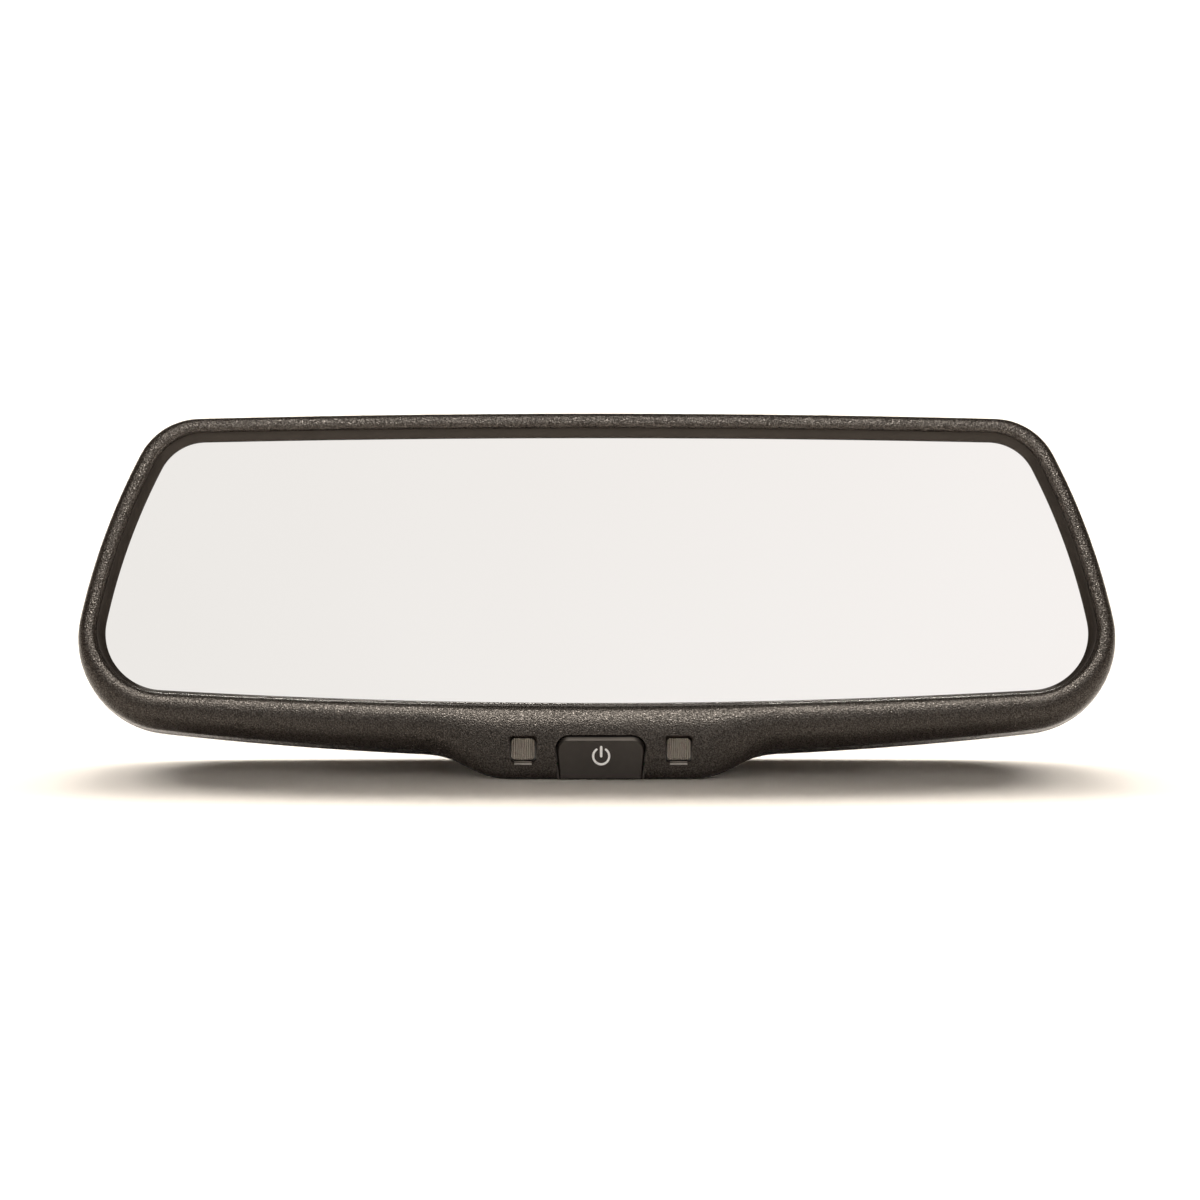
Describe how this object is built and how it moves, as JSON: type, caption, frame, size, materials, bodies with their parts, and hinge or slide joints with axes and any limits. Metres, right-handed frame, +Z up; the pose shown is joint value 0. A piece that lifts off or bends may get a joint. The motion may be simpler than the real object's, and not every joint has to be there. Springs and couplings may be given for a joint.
{
  "type": "interior rearview mirror",
  "caption": "Auto-dimming interior rearview mirror with a grained black bezel, chin button, two sensor windows and a double-ball windscreen mount.",
  "frame": {"origin": "middle of the object's base: the horizontal plane under its chin and its windscreen button", "axes": "+X along the mirror's width, to the right seen from the glass; -Y the side the glass faces; +Z up, with the head leaning back 18 degrees"},
  "size_m": [0.2636, 0.1288, 0.0892],
  "materials": {
    "textured_plastic": "fine moulded grain",
    "satin_plastic": "satin, smooth",
    "lens_plastic": "ribbed smoked lens",
    "clear_plastic": "clear, moulded",
    "liner_plastic": "natural acetal",
    "inner_plastic": "plain moulded",
    "clear_glass": "polished",
    "mirror_glass": "polished",
    "foam": "closed-cell foam",
    "seal_epoxy": "cured epoxy bead",
    "circuit_laminate": "solder mask",
    "steel": "zinc plated",
    "dark_steel": "black oxide",
    "zinc": "die-cast, tumbled"
  },
  "bodies": {
    "mount": {"mount_shoe": "zinc", "foot_ball_stud": "zinc", "windscreen_button": "steel", "set_screw": "dark_steel"},
    "foot_seat": {"foot_seat_cup": "liner_plastic"},
    "arm": {"arm_tube": "satin_plastic", "arm_spring": "steel", "foot_seat_ring": "liner_plastic"},
    "head_ring": {"head_seat_ring": "liner_plastic"},
    "head_seat": {"head_seat_cup": "liner_plastic"},
    "head": {"ambient_light_pipe": "clear_plastic", "ambient_sensor": "clear_plastic", "bezel": "textured_plastic", "board_header": "inner_plastic", "board_screw_1": "dark_steel", "board_screw_2": "dark_steel", "button_board": "circuit_laminate", "carrier_plate": "inner_plastic", "carrier_screw_1": "dark_steel", "carrier_screw_2": "dark_steel", "cell_seal": "seal_epoxy", "connector_socket": "inner_plastic", "foam_pad": "foam", "front_glass": "clear_glass", "glare_sensor": "inner_plastic", "head_ball_stud": "zinc", "housing_screw_1": "dark_steel", "housing_screw_2": "dark_steel", "housing_screw_3": "dark_steel", "housing_screw_4": "dark_steel", "left_sensor_window": "lens_plastic", "main_board": "circuit_laminate", "mount_plate": "steel", "plate_screw_1": "dark_steel", "plate_screw_2": "dark_steel", "plate_screw_3": "dark_steel", "plate_screw_4": "dark_steel", "rear_housing": "textured_plastic", "rear_mirror_glass": "mirror_glass", "right_sensor_window": "lens_plastic", "status_led": "clear_plastic", "tact_switch": "inner_plastic"},
    "button": {"power_button": "satin_plastic"}
  },
  "joints": [
    {"name": "arm_tilt", "type": "hinge", "parent": "mount", "child": "foot_seat", "pos_m": [0, 0.03596, 0.02313], "axis": [1, 0, 0], "range_deg": [-25, 6]},
    {"name": "arm_swivel", "type": "hinge", "parent": "foot_seat", "child": "arm", "pos_m": [0, 0.03596, 0.02313], "axis": [0, 0.5, 0.866], "range_deg": [-12, 12]},
    {"name": "head_roll", "type": "hinge", "parent": "arm", "child": "head_ring", "pos_m": [0, -0.00041, 0.04413], "axis": [0, -0.866, 0.5], "range_deg": [-15, 15]},
    {"name": "head_swivel", "type": "hinge", "parent": "head_ring", "child": "head_seat", "pos_m": [0, -0.00041, 0.04413], "axis": [0, 0.309, 0.9511], "range_deg": [-12, 12]},
    {"name": "head_tilt", "type": "hinge", "parent": "head_seat", "child": "head", "pos_m": [0, -0.00041, 0.04413], "axis": [1, 0, 0], "range_deg": [-20, 14]},
    {"name": "button_press", "type": "slide", "parent": "head", "child": "button", "axis": [0, 0.9511, -0.309], "range_m": [0, 0.0008], "stiffness_N_per_m": 2500}
  ]
}
